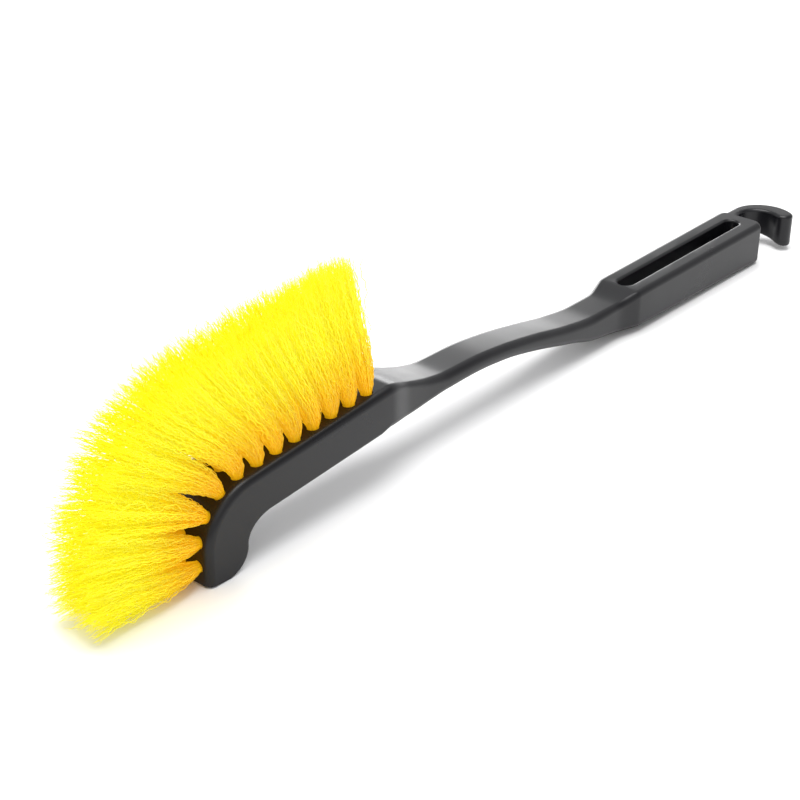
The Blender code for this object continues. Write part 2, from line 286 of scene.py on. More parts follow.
class StageSettings(bpy.types.PropertyGroup):
    """Camera, floor and studio light."""

    camera_place: bpy.props.FloatVectorProperty(
        name="Camera place",
        description="Where the camera stands, from the nose on the middle of the head",
        subtype="TRANSLATION",
        unit="LENGTH",
        size=3,
        default=(-0.292006, -0.352916, 0.313863),
    )
    camera_pitch: bpy.props.FloatProperty(
        name="Camera pitch",
        description="How far the camera looks down",
        subtype="ANGLE",
        unit="ROTATION",
        default=math.radians(28.676),
    )
    camera_turn: bpy.props.FloatProperty(
        name="Camera turn",
        description="How far the camera is turned from +X towards +Y",
        subtype="ANGLE",
        unit="ROTATION",
        default=math.radians(41.319),
    )
    lens: bpy.props.FloatProperty(
        name="Lens",
        description="Focal length in millimetres",
        min=10.0,
        max=200.0,
        default=74.25,
    )
    key_power: bpy.props.FloatProperty(
        name="Key light",
        description="Power of the large light overhead, in watts",
        min=0.0,
        default=19.0,
    )
    fill_power: bpy.props.FloatProperty(
        name="Fill light",
        description="Power of the light over the camera, in watts",
        min=0.0,
        default=2.0,
    )
    surround: bpy.props.FloatProperty(
        name="Surround",
        description="Brightness of the white room",
        min=0.0,
        default=0.75,
    )


def in_frame(point):
    """A point of the design, with the nose at x = 0 and y = 0 on its middle, in the row frame."""
    offset = Vector((body_low.x, body_high.y - HEAD_WIDTH / 2, 0.0))
    return Vector(point) + offset


# ---------------------------------------------------------------- materials


# Plastic: mottle, worn edges, change of gloss, grain
PLASTIC_SLOW = 38.0
PLASTIC_FINE = 1900.0
PROUD_EDGE = (0.52, 0.62)
WEAR_AMOUNT = 0.5
WORN_GAIN = 4.0
GLOSS_CHANGE = (0.3, 0.7)
GLOSS_BELOW = 0.03
GLOSS_ABOVE = 0.04
GRAIN_HEIGHT = 0.05 * MM
PLASTIC_IOR = 1.4

# Filament: mottle, where the painted shade of the root fades into the tip colour along it, how much the
# strands differ, and how strong its glow is
FILAMENT_SLOW = 60.0
FILAMENT_FINE = 700.0
ROOT_SHADE_FADE = (0.05, 0.75)
STRAND_TINT = (0.74, 1.0)
FILAMENT_ROUGHNESS = (0.34, 0.5)
FILAMENT_GLOW = 0.3
NYLON_IOR = 1.5

# Steel: mottle and tarnish
STEEL_SLOW = 300.0
STEEL_FINE = 4000.0
TARNISH_LEVEL = 0.6
STEEL_ROUGHNESS = (0.22, 0.5)

def new_group(name, inputs, outputs):
    """An empty node group with its sockets and its two end nodes."""
    group = bpy.data.node_groups.new(name, "ShaderNodeTree")
    for label, kind, value in inputs:
        socket = group.interface.new_socket(name=label, in_out="INPUT", socket_type=kind)
        socket.default_value = value
    for label, kind in outputs:
        group.interface.new_socket(name=label, in_out="OUTPUT", socket_type=kind)
    return group, group.nodes.new("NodeGroupInput"), group.nodes.new("NodeGroupOutput")


def add_node(tree, kind, inputs=(), **settings):
    """A node with its settings, and its inputs set or linked by name or number."""
    node = tree.nodes.new(kind)
    for key, value in settings.items():
        setattr(node, key, value)
    for key, value in dict(inputs).items():
        if isinstance(value, bpy.types.NodeSocket):
            tree.links.new(value, node.inputs[key])
        else:
            node.inputs[key].default_value = value
    return node


def spread(tree, value, source=(0.0, 1.0), result=(0.0, 1.0), smooth=False):
    """Output socket of a value moved from one range to another."""
    node = add_node(
        tree,
        "ShaderNodeMapRange",
        {
            "Value": value,
            "From Min": source[0],
            "From Max": source[1],
            "To Min": result[0],
            "To Max": result[1],
        },
        interpolation_type="SMOOTHSTEP" if smooth else "LINEAR",
    )
    return node.outputs[0]


def product(tree, one, other, clamp=False):
    """Output socket of two values multiplied."""
    inputs = {0: one, 1: other}
    return add_node(tree, "ShaderNodeMath", inputs, operation="MULTIPLY", use_clamp=clamp).outputs[0]


def blend(tree, factor, one, other, mode="MIX"):
    """Output socket of two colours blended."""
    inputs = {"Factor": factor, "A": one, "B": other}
    node = add_node(tree, "ShaderNodeMix", inputs, data_type="RGBA", blend_type=mode)
    return node.outputs["Result"]


def mottle_group():
    """Slow and fine variation over a surface, as two masks from 0 to 1."""
    found = bpy.data.node_groups.get("surface_mottle")
    if found:
        return found
    group, start, end = new_group(
        "surface_mottle",
        (("Slow scale", "NodeSocketFloat", 40.0), ("Fine scale", "NodeSocketFloat", 900.0)),
        (("Slow", "NodeSocketFloat"), ("Fine", "NodeSocketFloat")),
    )
    place = add_node(group, "ShaderNodeTexCoord")
    for label, detail in (("Slow", 3.0), ("Fine", 2.0)):
        noise = add_node(
            group,
            "ShaderNodeTexNoise",
            {"Vector": place.outputs["Object"], "Scale": start.outputs[label + " scale"], "Detail": detail},
        )
        group.links.new(noise.outputs["Fac"], end.inputs[label])
    return group


def edge_wear_group():
    """A mask of the proud edges, broken up by a mottle mask."""
    found = bpy.data.node_groups.get("edge_wear")
    if found:
        return found
    group, start, end = new_group(
        "edge_wear",
        (("Break up", "NodeSocketFloat", 0.5), ("Amount", "NodeSocketFloat", 0.5)),
        (("Mask", "NodeSocketFloat"),),
    )
    shape = add_node(group, "ShaderNodeNewGeometry")
    proud = spread(group, shape.outputs["Pointiness"], PROUD_EDGE)
    broken = product(group, proud, start.outputs["Break up"])
    scaled = product(group, broken, start.outputs["Amount"], clamp=True)
    group.links.new(scaled, end.inputs["Mask"])
    return group


def new_material(name):
    """A material with its node tree and its Principled shader."""
    material = bpy.data.materials.new(name)
    material.use_nodes = True
    tree = material.node_tree
    return material, tree, tree.nodes["Principled BSDF"]


def use_group(tree, group, **values):
    """A node group in a tree; an underscore in a name stands for a space in its socket's."""
    return add_node(
        tree, "ShaderNodeGroup", {k.replace("_", " "): v for k, v in values.items()}, node_tree=group
    )


def plastic_material(settings):
    """Black satin plastic with a fine moulded grain, a slow change of gloss and worn edges."""
    material, tree, shader = new_material("moulded_black_plastic")
    mottle = use_group(tree, mottle_group(), Slow_scale=PLASTIC_SLOW, Fine_scale=PLASTIC_FINE)
    wear = use_group(tree, edge_wear_group(), Break_up=mottle.outputs["Slow"], Amount=WEAR_AMOUNT)
    worn = [min(WORN_GAIN * channel, 1.0) for channel in settings.colour]
    colour = blend(tree, wear.outputs["Mask"], (*settings.colour, 1.0), (*worn, 1.0))
    gloss = (settings.roughness - GLOSS_BELOW, settings.roughness + GLOSS_ABOVE)
    rough = spread(tree, mottle.outputs["Slow"], GLOSS_CHANGE, gloss)
    grain = add_node(
        tree,
        "ShaderNodeBump",
        {"Height": mottle.outputs["Fine"], "Strength": settings.grain_depth, "Distance": GRAIN_HEIGHT},
    )
    tree.links.new(colour, shader.inputs["Base Color"])
    tree.links.new(rough, shader.inputs["Roughness"])
    tree.links.new(grain.outputs["Normal"], shader.inputs["Normal"])
    shader.inputs["IOR"].default_value = PLASTIC_IOR
    return material


def filament_material(settings):
    """Yellow nylon with painted shade: deeper orange at the root, where shade falls between the tufts,
    brighter at the tip, and uneven between strands.

    Its faint glow stands for the light that passes from one filament into the next.
    """
    material, tree, shader = new_material("yellow_filament")
    reach = add_node(tree, "ShaderNodeAttribute", attribute_name="reach")
    strand = add_node(tree, "ShaderNodeAttribute", attribute_name="strand")
    mottle = use_group(tree, mottle_group(), Slow_scale=FILAMENT_SLOW, Fine_scale=FILAMENT_FINE)
    # Painted shade: the colour runs from the deeper root colour near the face to the brighter tip colour,
    # for the shade deep between the tufts.
    along = spread(tree, reach.outputs["Fac"], ROOT_SHADE_FADE, smooth=True)
    body = blend(tree, along, (*settings.shaded_root_colour, 1.0), (*settings.tip_colour, 1.0))
    tint = spread(tree, strand.outputs["Fac"], result=STRAND_TINT)
    shaded = blend(tree, 1.0, body, tint, "MULTIPLY")
    rough = spread(tree, mottle.outputs["Fine"], result=FILAMENT_ROUGHNESS)
    tree.links.new(shaded, shader.inputs["Base Color"])
    tree.links.new(shaded, shader.inputs["Emission Color"])
    tree.links.new(rough, shader.inputs["Roughness"])
    shader.inputs["Emission Strength"].default_value = FILAMENT_GLOW
    shader.inputs["IOR"].default_value = NYLON_IOR
    return material


def steel_material(settings):
    """Drawn steel wire: fine variation of gloss and a little tarnish."""
    material, tree, shader = new_material("anchor_steel")
    mottle = use_group(tree, mottle_group(), Slow_scale=STEEL_SLOW, Fine_scale=STEEL_FINE)
    tarnish = [TARNISH_LEVEL * channel for channel in settings.colour]
    colour = blend(tree, mottle.outputs["Slow"], (*settings.colour, 1.0), (*tarnish, 1.0))
    rough = spread(tree, mottle.outputs["Fine"], result=STEEL_ROUGHNESS)
    tree.links.new(colour, shader.inputs["Base Color"])
    tree.links.new(rough, shader.inputs["Roughness"])
    shader.inputs["Metallic"].default_value = 1.0
    return material


# ---------------------------------------------------------------- moulded body


def face_frame(distance):
    """Point, direction and outward normal of the tufted face, by distance up from its foot."""
    if distance <= NOSE_CENTRE_HEIGHT:
        return Vector((0, 0, distance)), Vector((0, 0, 1)), Vector((-1, 0, 0))
    turn = min((distance - NOSE_CENTRE_HEIGHT) / NOSE_RADIUS, NOSE_TURN)
    normal = Vector((-math.cos(turn), 0, math.sin(turn)))
    along = Vector((math.sin(turn), 0, math.cos(turn)))
    point = Vector((NOSE_RADIUS, 0, NOSE_CENTRE_HEIGHT)) + normal * NOSE_RADIUS
    past = distance - NOSE_CENTRE_HEIGHT - NOSE_RADIUS * NOSE_TURN
    if past > 0:
        point += along * past
    return point, along, normal


def rounded_section(top, low, half_width, top_edge, low_edge):
    """Ring of points of a rounded rectangle that stands between two points of the profile."""
    depth = (top - low).length
    corners = (
        (1, depth, top_edge, 0.0),
        (-1, depth, top_edge, math.pi / 2),
        (-1, 0.0, low_edge, math.pi),
        (1, 0.0, low_edge, 1.5 * math.pi),
    )
    ring = []
    for side, height, radius, start in corners:
        centre_y = side * (half_width - radius)
        centre_v = height - radius if height else radius
        for step in range(CORNER_STEPS + 1):
            angle = start + step / CORNER_STEPS * math.pi / 2
            y = centre_y + radius * math.cos(angle)
            v = centre_v + radius * math.sin(angle)
            ring.append(low + (top - low) * (v / depth) + Vector((0, y, 0)))
    return ring


def smooth_value(knots, values, at):
    """Value of a curve that passes through the knots and never overshoots between them."""
    slopes = [(values[i + 1] - values[i]) / (knots[i + 1] - knots[i]) for i in range(len(knots) - 1)]
    tangents = [slopes[0]]
    for before, after in zip(slopes, slopes[1:]):
        together = before * after > 0
        tangents.append(2 * before * after / (before + after) if together else 0.0)
    tangents.append(slopes[-1])
    i = max(k for k in range(len(slopes)) if k == 0 or knots[k] <= at)
    span = knots[i + 1] - knots[i]
    t = (at - knots[i]) / span
    return (
        values[i] * (2 * t**3 - 3 * t**2 + 1)
        + values[i + 1] * (3 * t**2 - 2 * t**3)
        + tangents[i] * span * (t**3 - 2 * t**2 + t)
        + tangents[i + 1] * span * (t**3 - t**2)
    )


def straight_face_height(x):
    """Height of the straight stretch of the tufted face."""
    start = face_frame(NOSE_CENTRE_HEIGHT + NOSE_RADIUS * NOSE_TURN)[0]
    return start.z + (x - start.x) * math.tan(FACE_SLOPE)


def head_sections():
    """Sections that fan round the nose, from its foot to the start of the straight face."""
    half = HEAD_WIDTH / 2
    sections = []
    for step in range(HEEL_STEPS + 1):
        share = step / (HEEL_STEPS + 1)
        angle = share * math.pi / 2
        inset = 0.0 if step else FOOT_EDGE
        top = Vector((inset, 0, share * NOSE_CENTRE_HEIGHT))
        low_x = NOSE_DEPTH - HEEL_REACH + HEEL_REACH * math.sin(angle)
        low = Vector((low_x, 0, HEEL_HEIGHT * (1 - math.cos(angle))))
        sections.append((top, low, half - inset, HEAD_TOP_EDGE, HEAD_LOW_EDGE))
    for step in range(NOSE_STEPS + 1):
        turn = step / NOSE_STEPS * NOSE_TURN
        top = face_frame(NOSE_CENTRE_HEIGHT + NOSE_RADIUS * turn)[0]
        low_x = NOSE_DEPTH + INNER_ARC_REACH * (1 - math.cos(turn))
        low = Vector((low_x, 0, HEEL_HEIGHT + INNER_ARC_HEIGHT * math.sin(turn)))
        sections.append((top, low, half, HEAD_TOP_EDGE, HEAD_LOW_EDGE))
    last_top, last_low = sections[-1][:2]
    end_top = Vector((HEAD_LENGTH, 0, straight_face_height(HEAD_LENGTH)))
    end_low = end_top - Vector((0, 0, HEAD_BACK_DEPTH))
    for step in range(1, FACE_STEPS):
        share = step / FACE_STEPS
        top = last_top.lerp(end_top, share)
        low = last_low.lerp(end_low, share)
        sections.append((top, low, half, HEAD_TOP_EDGE, HEAD_LOW_EDGE))
    return sections


def back_rows():
    """Stations of the neck and the grip: places along X, and the values that change there."""
    knots = [HEAD_LENGTH - HEAD_TAIL, HEAD_LENGTH]
    rows = [(straight_face_height(x), HEAD_BACK_DEPTH, HEAD_WIDTH / 2, HEAD_TOP_EDGE) for x in knots]
    for share, *row in NECK_SHAPE:
        knots.append(HEAD_LENGTH + share * NECK_LENGTH)
        rows.append(tuple(row))
    knots.append(NECK_END)
    rows.append((GRIP_START_TOP, GRIP_START_TOP - GRIP_START_LIFT, GRIP_START_WIDTH / 2, GRIP_EDGE))
    knots.append(GRIP_END)
    rows.append((GRIP_END_TOP, GRIP_END_TOP, GRIP_END_WIDTH / 2, GRIP_EDGE))
    return knots, rows


def back_values(x):
    """Height of the top, depth, half width and edge radius of the neck or grip at x."""
    knots, rows = back_rows()
    if x > NECK_END:
        share = (x - NECK_END) / GRIP_LENGTH
        return [a + (b - a) * share for a, b in zip(rows[-2], rows[-1])]
    return [smooth_value(knots[:-1], column, x) for column in zip(*rows[:-1])]


def back_sections():
    """Neck and grip: upright sections along X, drawn in at the rounded end."""
    places = [HEAD_LENGTH + k / NECK_STATIONS * NECK_LENGTH for k in range(NECK_STATIONS + 1)]
    flat_end = GRIP_END - END_CORNER
    places += [NECK_END + k / GRIP_STATIONS * (flat_end - NECK_END) for k in range(1, GRIP_STATIONS)]
    turns = [k / END_STATIONS * math.pi / 2 for k in range(END_STATIONS + 1)]
    places += [flat_end + END_CORNER * math.sin(turn) for turn in turns]
    sections = []
    for x in places:
        height, depth, half, edge = back_values(x)
        into_corner = max(x - flat_end, 0.0) / END_CORNER
        half -= END_CORNER * (1 - math.sqrt(max(1 - into_corner**2, 0.0)))
        top = Vector((x, 0, height))
        sections.append((top, top - Vector((0, 0, depth)), half, edge, edge))
    return sections


def loft_mesh(name, rings):
    """Closed skin through unlike sections, with a flat cap at each end."""
    bm = bmesh.new()
    loops = [[bm.verts.new(point) for point in ring] for ring in rings]
    count = len(loops[0])
    for near, far in zip(loops, loops[1:]):
        for i in range(count):
            j = (i + 1) % count
            bm.faces.new((near[i], near[j], far[j], far[i]))
    bm.faces.new(list(reversed(loops[0])))
    bm.faces.new(loops[-1])
    bmesh.ops.recalc_face_normals(bm, faces=bm.faces)
    mesh = bpy.data.meshes.new(name)
    bm.to_mesh(mesh)
    bm.free()
    return mesh


def arc_points(centre, radius, start, end, steps=ARC_STEPS):
    """Points along an arc, both ends included."""
    return [
        (
            centre[0] + radius * math.cos(start + (end - start) * k / steps),
            centre[1] + radius * math.sin(start + (end - start) * k / steps),
        )
        for k in range(steps + 1)
    ]


def hook_outline():
    """The hook from above: a strip of the far wall, bent round the gap to a rounded tip."""
    gap_radius = HOOK_GAP / 2
    outside = GRIP_END_WIDTH / 2 - HOOK_INSET
    outer_centre = (GRIP_END + gap_radius + HOOK_WALL / 2, outside - HOOK_RADIUS)
    inner_centre = (GRIP_END + gap_radius, outside - HOOK_WALL - gap_radius)
    outer = arc_points(outer_centre, HOOK_RADIUS, math.pi / 2, -HOOK_TIP_ANGLE)
    inner = arc_points(inner_centre, gap_radius, -HOOK_TIP_ANGLE, math.pi - HOOK_NOTCH_ANGLE)
    tip_centre = ((outer[-1][0] + inner[0][0]) / 2, (outer[-1][1] + inner[0][1]) / 2)
    across = (outer[-1][0] - inner[0][0], outer[-1][1] - inner[0][1])
    tip_start = math.atan2(across[1], across[0])
    tip = arc_points(tip_centre, math.hypot(*across) / 2, tip_start, tip_start - math.pi, ARC_STEPS // 3)
    wall_x = GRIP_END - SLOT_END_WALL / 2
    wall = [(wall_x, inner[-1][1]), (wall_x, outside - HOOK_WALL)]
    root_x = GRIP_END - HOOK_ROOT
    start = [(root_x, outside - HOOK_WALL), (root_x, outside)]
    return start + outer + tip[1:-1] + inner + wall


def plate_mesh(name, points, half_thickness, edge, tilt):
    """A flat outline drawn as a 2D curve and thickened, as a welded mesh.

    Its edges are rounded, and its lower face rises towards +Y by the tilt.
    """
    curve = bpy.data.curves.new(name, "CURVE")
    curve.dimensions = "2D"
    curve.fill_mode = "BOTH"
    curve.extrude = half_thickness - edge
    curve.bevel_depth = edge
    curve.bevel_resolution = EDGE_STEPS
    curve.offset = -edge
    spline = curve.splines.new("POLY")
    spline.points.add(len(points) - 1)
    for slot, (x, y) in zip(spline.points, points):
        slot.co = (x, y, 0, 1)
    spline.use_cyclic_u = True
    drawing = bpy.data.objects.new(name, curve)
    bpy.context.scene.collection.objects.link(drawing)
    graph = bpy.context.evaluated_depsgraph_get()
    mesh = bpy.data.meshes.new_from_object(drawing.evaluated_get(graph))
    bpy.data.objects.remove(drawing)
    bpy.data.curves.remove(curve)
    bm = bmesh.new()
    bm.from_mesh(mesh)
    bmesh.ops.remove_doubles(bm, verts=bm.verts, dist=WELD)
    for vertex in bm.verts:
        if vertex.co.z < 0:
            vertex.co.z += vertex.co.y * math.tan(tilt)
    bmesh.ops.recalc_face_normals(bm, faces=bm.faces)
    bm.to_mesh(mesh)
    bm.free()
    return mesh


def slot_cutter_mesh(rim):
    """The slot as a solid that widens towards both faces, so that its cut leaves round rims."""
    radius = SLOT_WIDTH / 2
    front = (NECK_END + SLOT_START_WALL + radius, 0.0)
    back = (GRIP_END - SLOT_END_WALL - radius, 0.0)
    quarter = math.pi / 2
    levels = [(rim, "top", CUT_PAST)]
    for step in range(RIM_STEPS + 1):
        turn = step / RIM_STEPS * quarter
        levels.append((rim * (1 - math.sin(turn)), "top", -rim * (1 - math.cos(turn))))
    for step in range(RIM_STEPS, -1, -1):
        turn = step / RIM_STEPS * quarter
        levels.append((rim * (1 - math.sin(turn)), "low", rim * (1 - math.cos(turn))))
    levels.append((rim, "low", -CUT_PAST))
    rings = []
    for grow, face, lift in levels:
        outline = arc_points(back, radius + grow, -quarter, quarter)
        outline += arc_points(front, radius + grow, quarter, 3 * quarter)
        ring = []
        for x, y in outline:
            height, depth = back_values(max(x, NECK_END))[:2]
            base = height if face == "top" else height - depth
            ring.append(Vector((x, y, base + lift)))
        rings.append(ring)
    return loft_mesh("slot_cutter", rings)


def tuft_places():
    """Index, row and matrix of each tuft: x along the face, y across it, z out of it."""
    for index in range(TUFTS_ALONG):
        point, along, normal = face_frame(FIRST_TUFT_HEIGHT + index * TUFT_PITCH)
        for row in range(len(ROWS)):
            y = (row - (len(ROWS) - 1) / 2) * ROW_PITCH
            turn = Matrix((along, normal.cross(along), normal)).transposed().to_4x4()
            yield index, row, Matrix.Translation(in_frame(point + Vector((0, y, 0)))) @ turn


def add_object(name, mesh, material=None):
    """A new object in the scene."""
    piece = bpy.data.objects.new(name, mesh)
    bpy.context.scene.collection.objects.link(piece)
    if material:
        mesh.materials.append(material)
    return piece


def apply_booleans(piece, steps):
    """Joins or cuts piece with each tool in turn, keeps the result and removes the tools."""
    for operation, tool in steps:
        modifier = piece.modifiers.new(tool.name, "BOOLEAN")
        modifier.operation = operation
        modifier.solver = "EXACT"
        modifier.object = tool
    graph = bpy.context.evaluated_depsgraph_get()
    result = bpy.data.meshes.new_from_object(piece.evaluated_get(graph))
    piece.modifiers.clear()
    old = piece.data
    piece.data = result
    bpy.data.meshes.remove(old)
    for _, tool in steps:
        bpy.data.objects.remove(tool)


def holes_tool():
    """All tuft holes as one cutter."""
    bm = bmesh.new()
    for _, _, place in tuft_places():
        middle = Matrix.Translation((0, 0, (HOLE_CLEAR - HOLE_DEPTH) / 2))
        bmesh.ops.create_cone(
            bm,
            cap_ends=True,
            segments=HOLE_SIDES,
            radius1=HOLE_DIAMETER / 2,
            radius2=HOLE_DIAMETER / 2,
            depth=HOLE_DEPTH + HOLE_CLEAR,
            matrix=place @ middle,
        )
    mesh = bpy.data.meshes.new("tuft_holes")
    bm.to_mesh(mesh)
    bm.free()
    return add_object("tuft_holes", mesh)


def build_body(settings):
    """The lofted body with its hook joined on, and its slot and tuft holes cut."""
    rings = [
        [in_frame(point) for point in rounded_section(*section)]
        for section in head_sections() + back_sections()
    ]
    body = add_object("moulded_body", loft_mesh("moulded_body", rings), plastic_material(settings))
    top = GRIP_END_TOP - HOOK_TOP_STEP
    half = (top - HOOK_LIFT) / 2
    hook_mesh = plate_mesh("hook_blank", hook_outline(), half, HOOK_EDGE, HOOK_TILT)
    hook = add_object("hook_blank", hook_mesh)
    hook.location = in_frame((0, 0, (top + HOOK_LIFT) / 2))
    slot = add_object("slot_cutter", slot_cutter_mesh(settings.rim_radius))
    slot.location = in_frame((0, 0, 0))
    apply_booleans(body, [("UNION", hook), ("DIFFERENCE", slot), ("DIFFERENCE", holes_tool())])
    body.data.shade_smooth()
    body.data.set_sharp_from_angle(angle=SHARP_ANGLE)
    weighted = body.modifiers.new("even_shading", "WEIGHTED_NORMAL")
    weighted.keep_sharp = True
    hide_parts("brush_body")
    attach(body, "root")
    return body


# ---------------------------------------------------------------- tufts


# The tube that each filament becomes
LEG_POINTS = 60
SIDES = 3
TAPER_START = 0.86
TIP_SHARE = 0.35

# How a tuft opens from its hole into the fan
ROOT_PULL = 11.0 * MM
TIP_PULL = 20.0 * MM
KNEE_FLARE = 4.4 * MM
FAN_MIX = 0.64
LAST_TIP = 11.4
SIDE_SPREAD = 4.2 * MM
REAR_START = 8
REAR_CLOSE = 2.5 * MM
REAR_SLANT = 3.2 * MM

# Locks that filaments gather into, and how far they scatter
LOCKS = 16
LOCK_PULL = 0.42
LOCK_SCATTER = 0.6 * MM
STRAND_SCATTER = 1.0 * MM
LENGTH_SCATTER = 0.9 * MM
LOCK_RING = 0.9
DISC_SHAKE = 0.03

# Stray filaments, which reach out and swing further
STRAY_SHARE = 0.05
STRAY_REACH = 2.2
STRAY_EXTRA = 2.5 * MM
STRAY_SWING = 1.5 * MM
STRAY_WAVE = 13.0 * MM
STRAY_CRIMP = 1.6

# Crimp and sway of each filament
CRIMP_START = 6.0 * MM
STRAND_SWING = 0.25 * MM
TURN_SPREAD = 0.7
PHASE_SPREAD = 0.9
CRIMP_LENGTH_SPREAD = (0.9, 1.12)
CRIMP_HEIGHT_SPREAD = (0.6, 1.4)
SWAY_LENGTH_SPREAD = (0.7, 1.3)

# Least height of a filament over the floor
FLOOR_GAP = 0.3 * MM

# Share of its strip that a filament fills in the map
LANE_SHARE = 0.9


def smooth_step(values):
    """Eased values: 0 up to 0, 1 from 1 on."""
    clipped = np.clip(values, 0.0, 1.0)
    return clipped * clipped * (3 - 2 * clipped)


def disc_points(count, rng):
    """Points spread evenly over a unit disc, a little shaken."""
    k = np.arange(count) + 0.5
    radius = np.sqrt(k / count)
    angle = k * math.pi * (3 - math.sqrt(5))
    points = np.stack([radius * np.cos(angle), radius * np.sin(angle)], 1)
    return points + rng.normal(0.0, DISC_SHAKE, points.shape)


def fan_point(at):
    """Where the tips end, for a tuft at any place along the fan."""
    knots, leans, lengths = zip(*FAN)
    lean = smooth_value(knots, leans, at)
    root = face_frame(FIRST_TUFT_HEIGHT + at * TUFT_PITCH)[0]
    return root + Vector((-math.sin(lean), 0, math.cos(lean))) * smooth_value(knots, lengths, at)


def leg_paths(ends, index, row, place, locks, rng, settings):
    """Free legs in the tuft's own frame, from the mouth of the hole to the tips."""
    count = len(ends)
    stray = rng.random(count) < STRAY_SHARE
    nearest = np.argmin(((ends[:, None] - locks[None]) ** 2).sum(2), 1)
    home = ends * (1 - LOCK_PULL) + locks[nearest] * LOCK_PULL
    scatter = rng.normal(0.0, STRAND_SCATTER, (count, 2)) * np.where(stray, STRAY_REACH, 1.0)[:, None]
    scatter += rng.normal(0.0, LOCK_SCATTER, (len(locks), 2))[nearest]

    # Tips: each end goes to its own place along the fan, as far as the fan's ends allow
    to_tuft = place.inverted()
    room = np.where(home[:, 0] < 0, index - FAN[0][0], LAST_TIP - index)
    at = index + home[:, 0] / np.abs(home[:, 0]).max() * np.minimum(room, FAN_MIX)
    tips = np.array([to_tuft @ in_frame(fan_point(value)) for value in at])
    tips[:, 0] += scatter[:, 0]
    side = row - (len(ROWS) - 1) / 2
    rear = smooth_step((index - REAR_START) / (TUFTS_ALONG - 1 - REAR_START))
    tips[:, 1] = home[:, 1] * SIDE_SPREAD - side * REAR_CLOSE * rear + scatter[:, 1]
    grow = rng.normal(0.0, LENGTH_SCATTER, count) + stray * STRAY_EXTRA - side * REAR_SLANT * rear
    tips *= (1 + grow / np.linalg.norm(tips, axis=1))[:, None]

    # Path: out of the hole along its axis, then over to the tip
    mouth = TUFT_DIAMETER / 2 - settings.filament_diameter / 2
    roots = np.concatenate([ends * mouth, np.zeros((count, 1))], 1)
    ahead = tips - roots
    ahead /= np.linalg.norm(ahead, axis=1, keepdims=True)
    flare = np.stack([ends[:, 0] * np.minimum(room / FAN_MIX, 1.0), ends[:, 1]], 1) * KNEE_FLARE
    knees = roots + np.concatenate([flare, np.full((count, 1), ROOT_PULL)], 1)
    hips = tips - ahead * TIP_PULL
    t = np.linspace(0.0, 1.0, LEG_POINTS)[None, :, None]
    path = (
        roots[:, None] * (1 - t) ** 3
        + knees[:, None] * 3 * t * (1 - t) ** 2
        + hips[:, None] * 3 * t**2 * (1 - t)
        + tips[:, None] * t**3
    )

    # Crimp in one plane and slow sway across it; filaments of one lock swing nearly together
    travel = np.linalg.norm(np.diff(path, axis=1), axis=2).cumsum(1)
    travel = np.pad(travel, ((0, 0), (1, 0)))
    slope = np.gradient(path, axis=1)
    slope /= np.linalg.norm(slope, axis=2, keepdims=True)
    across = np.array([0.0, 1.0, 0.0])
    raised = np.cross(slope, across)
    raised /= np.linalg.norm(raised, axis=2, keepdims=True)
    turn = rng.uniform(0, math.tau, len(locks))[nearest] + rng.normal(0.0, TURN_SPREAD, count)
    plane = np.cos(turn)[:, None, None] * across + np.sin(turn)[:, None, None] * raised
    start = smooth_step(travel / CRIMP_START)
    phase = rng.uniform(0, math.tau, len(locks))[nearest] + rng.normal(0.0, PHASE_SPREAD, count)
    waves = travel / (settings.crimp_length * rng.uniform(*CRIMP_LENGTH_SPREAD, count))[:, None]
    swing = settings.crimp_height * rng.uniform(*CRIMP_HEIGHT_SPREAD, count)
    swing *= np.where(stray, STRAY_CRIMP, 1.0)
    path += plane * (start * swing[:, None] * np.sin(math.tau * waves + phase[:, None]))[:, :, None]
    slow = np.where(stray, STRAY_SWING, STRAND_SWING)[:, None] * smooth_step(travel / STRAY_WAVE)
    bends = travel / (STRAY_WAVE * rng.uniform(*SWAY_LENGTH_SPREAD, count))[:, None]
    sway = np.cos(turn)[:, None, None] * raised - np.sin(turn)[:, None, None] * across
    path += sway * (slow * np.sin(math.tau * bends + phase[:, None]))[:, :, None]
    return path


def folded_paths(index, row, place, rng, settings):
    """Whole filaments in the tuft's own frame: tip, hole, round under the anchor, hole, tip."""
    count = settings.filaments
    disc = disc_points(2 * count, rng)
    order = np.argsort(disc[:, 0])
    left, right = disc[order[:count]], disc[order[count:]]
    left = left[np.argsort(left[:, 1])]
    right = right[np.argsort(right[:, 1])]
    locks = disc_points(LOCKS, rng) * LOCK_RING
    mouth = TUFT_DIAMETER / 2 - settings.filament_diameter / 2
    legs = []
    for ends in (left, right):
        free = leg_paths(ends, index, row, place, locks, rng, settings)
        beside = np.sign(ends[:, 0]) * (ANCHOR_PASS + np.abs(ends[:, 0]) * (mouth - ANCHOR_PASS))
        across = ends[:, 1] * mouth
        low = np.stack([beside, across, np.full(count, -ANCHOR_LOW)], 1)
        high = np.stack([beside, across, np.full(count, -ANCHOR_HIGH)], 1)
        legs.append(np.concatenate([low[:, None], high[:, None], free], 1))
    depth = -(FOLD_DEPTH - FOLD_SCATTER * rng.random(count))
    middle = (legs[0][:, 0, 1] + legs[1][:, 0, 1]) / 2
    fold = np.stack([np.zeros(count), middle, depth], 1)[:, None]
    return np.concatenate([legs[0][:, ::-1], fold, legs[1]], 1)


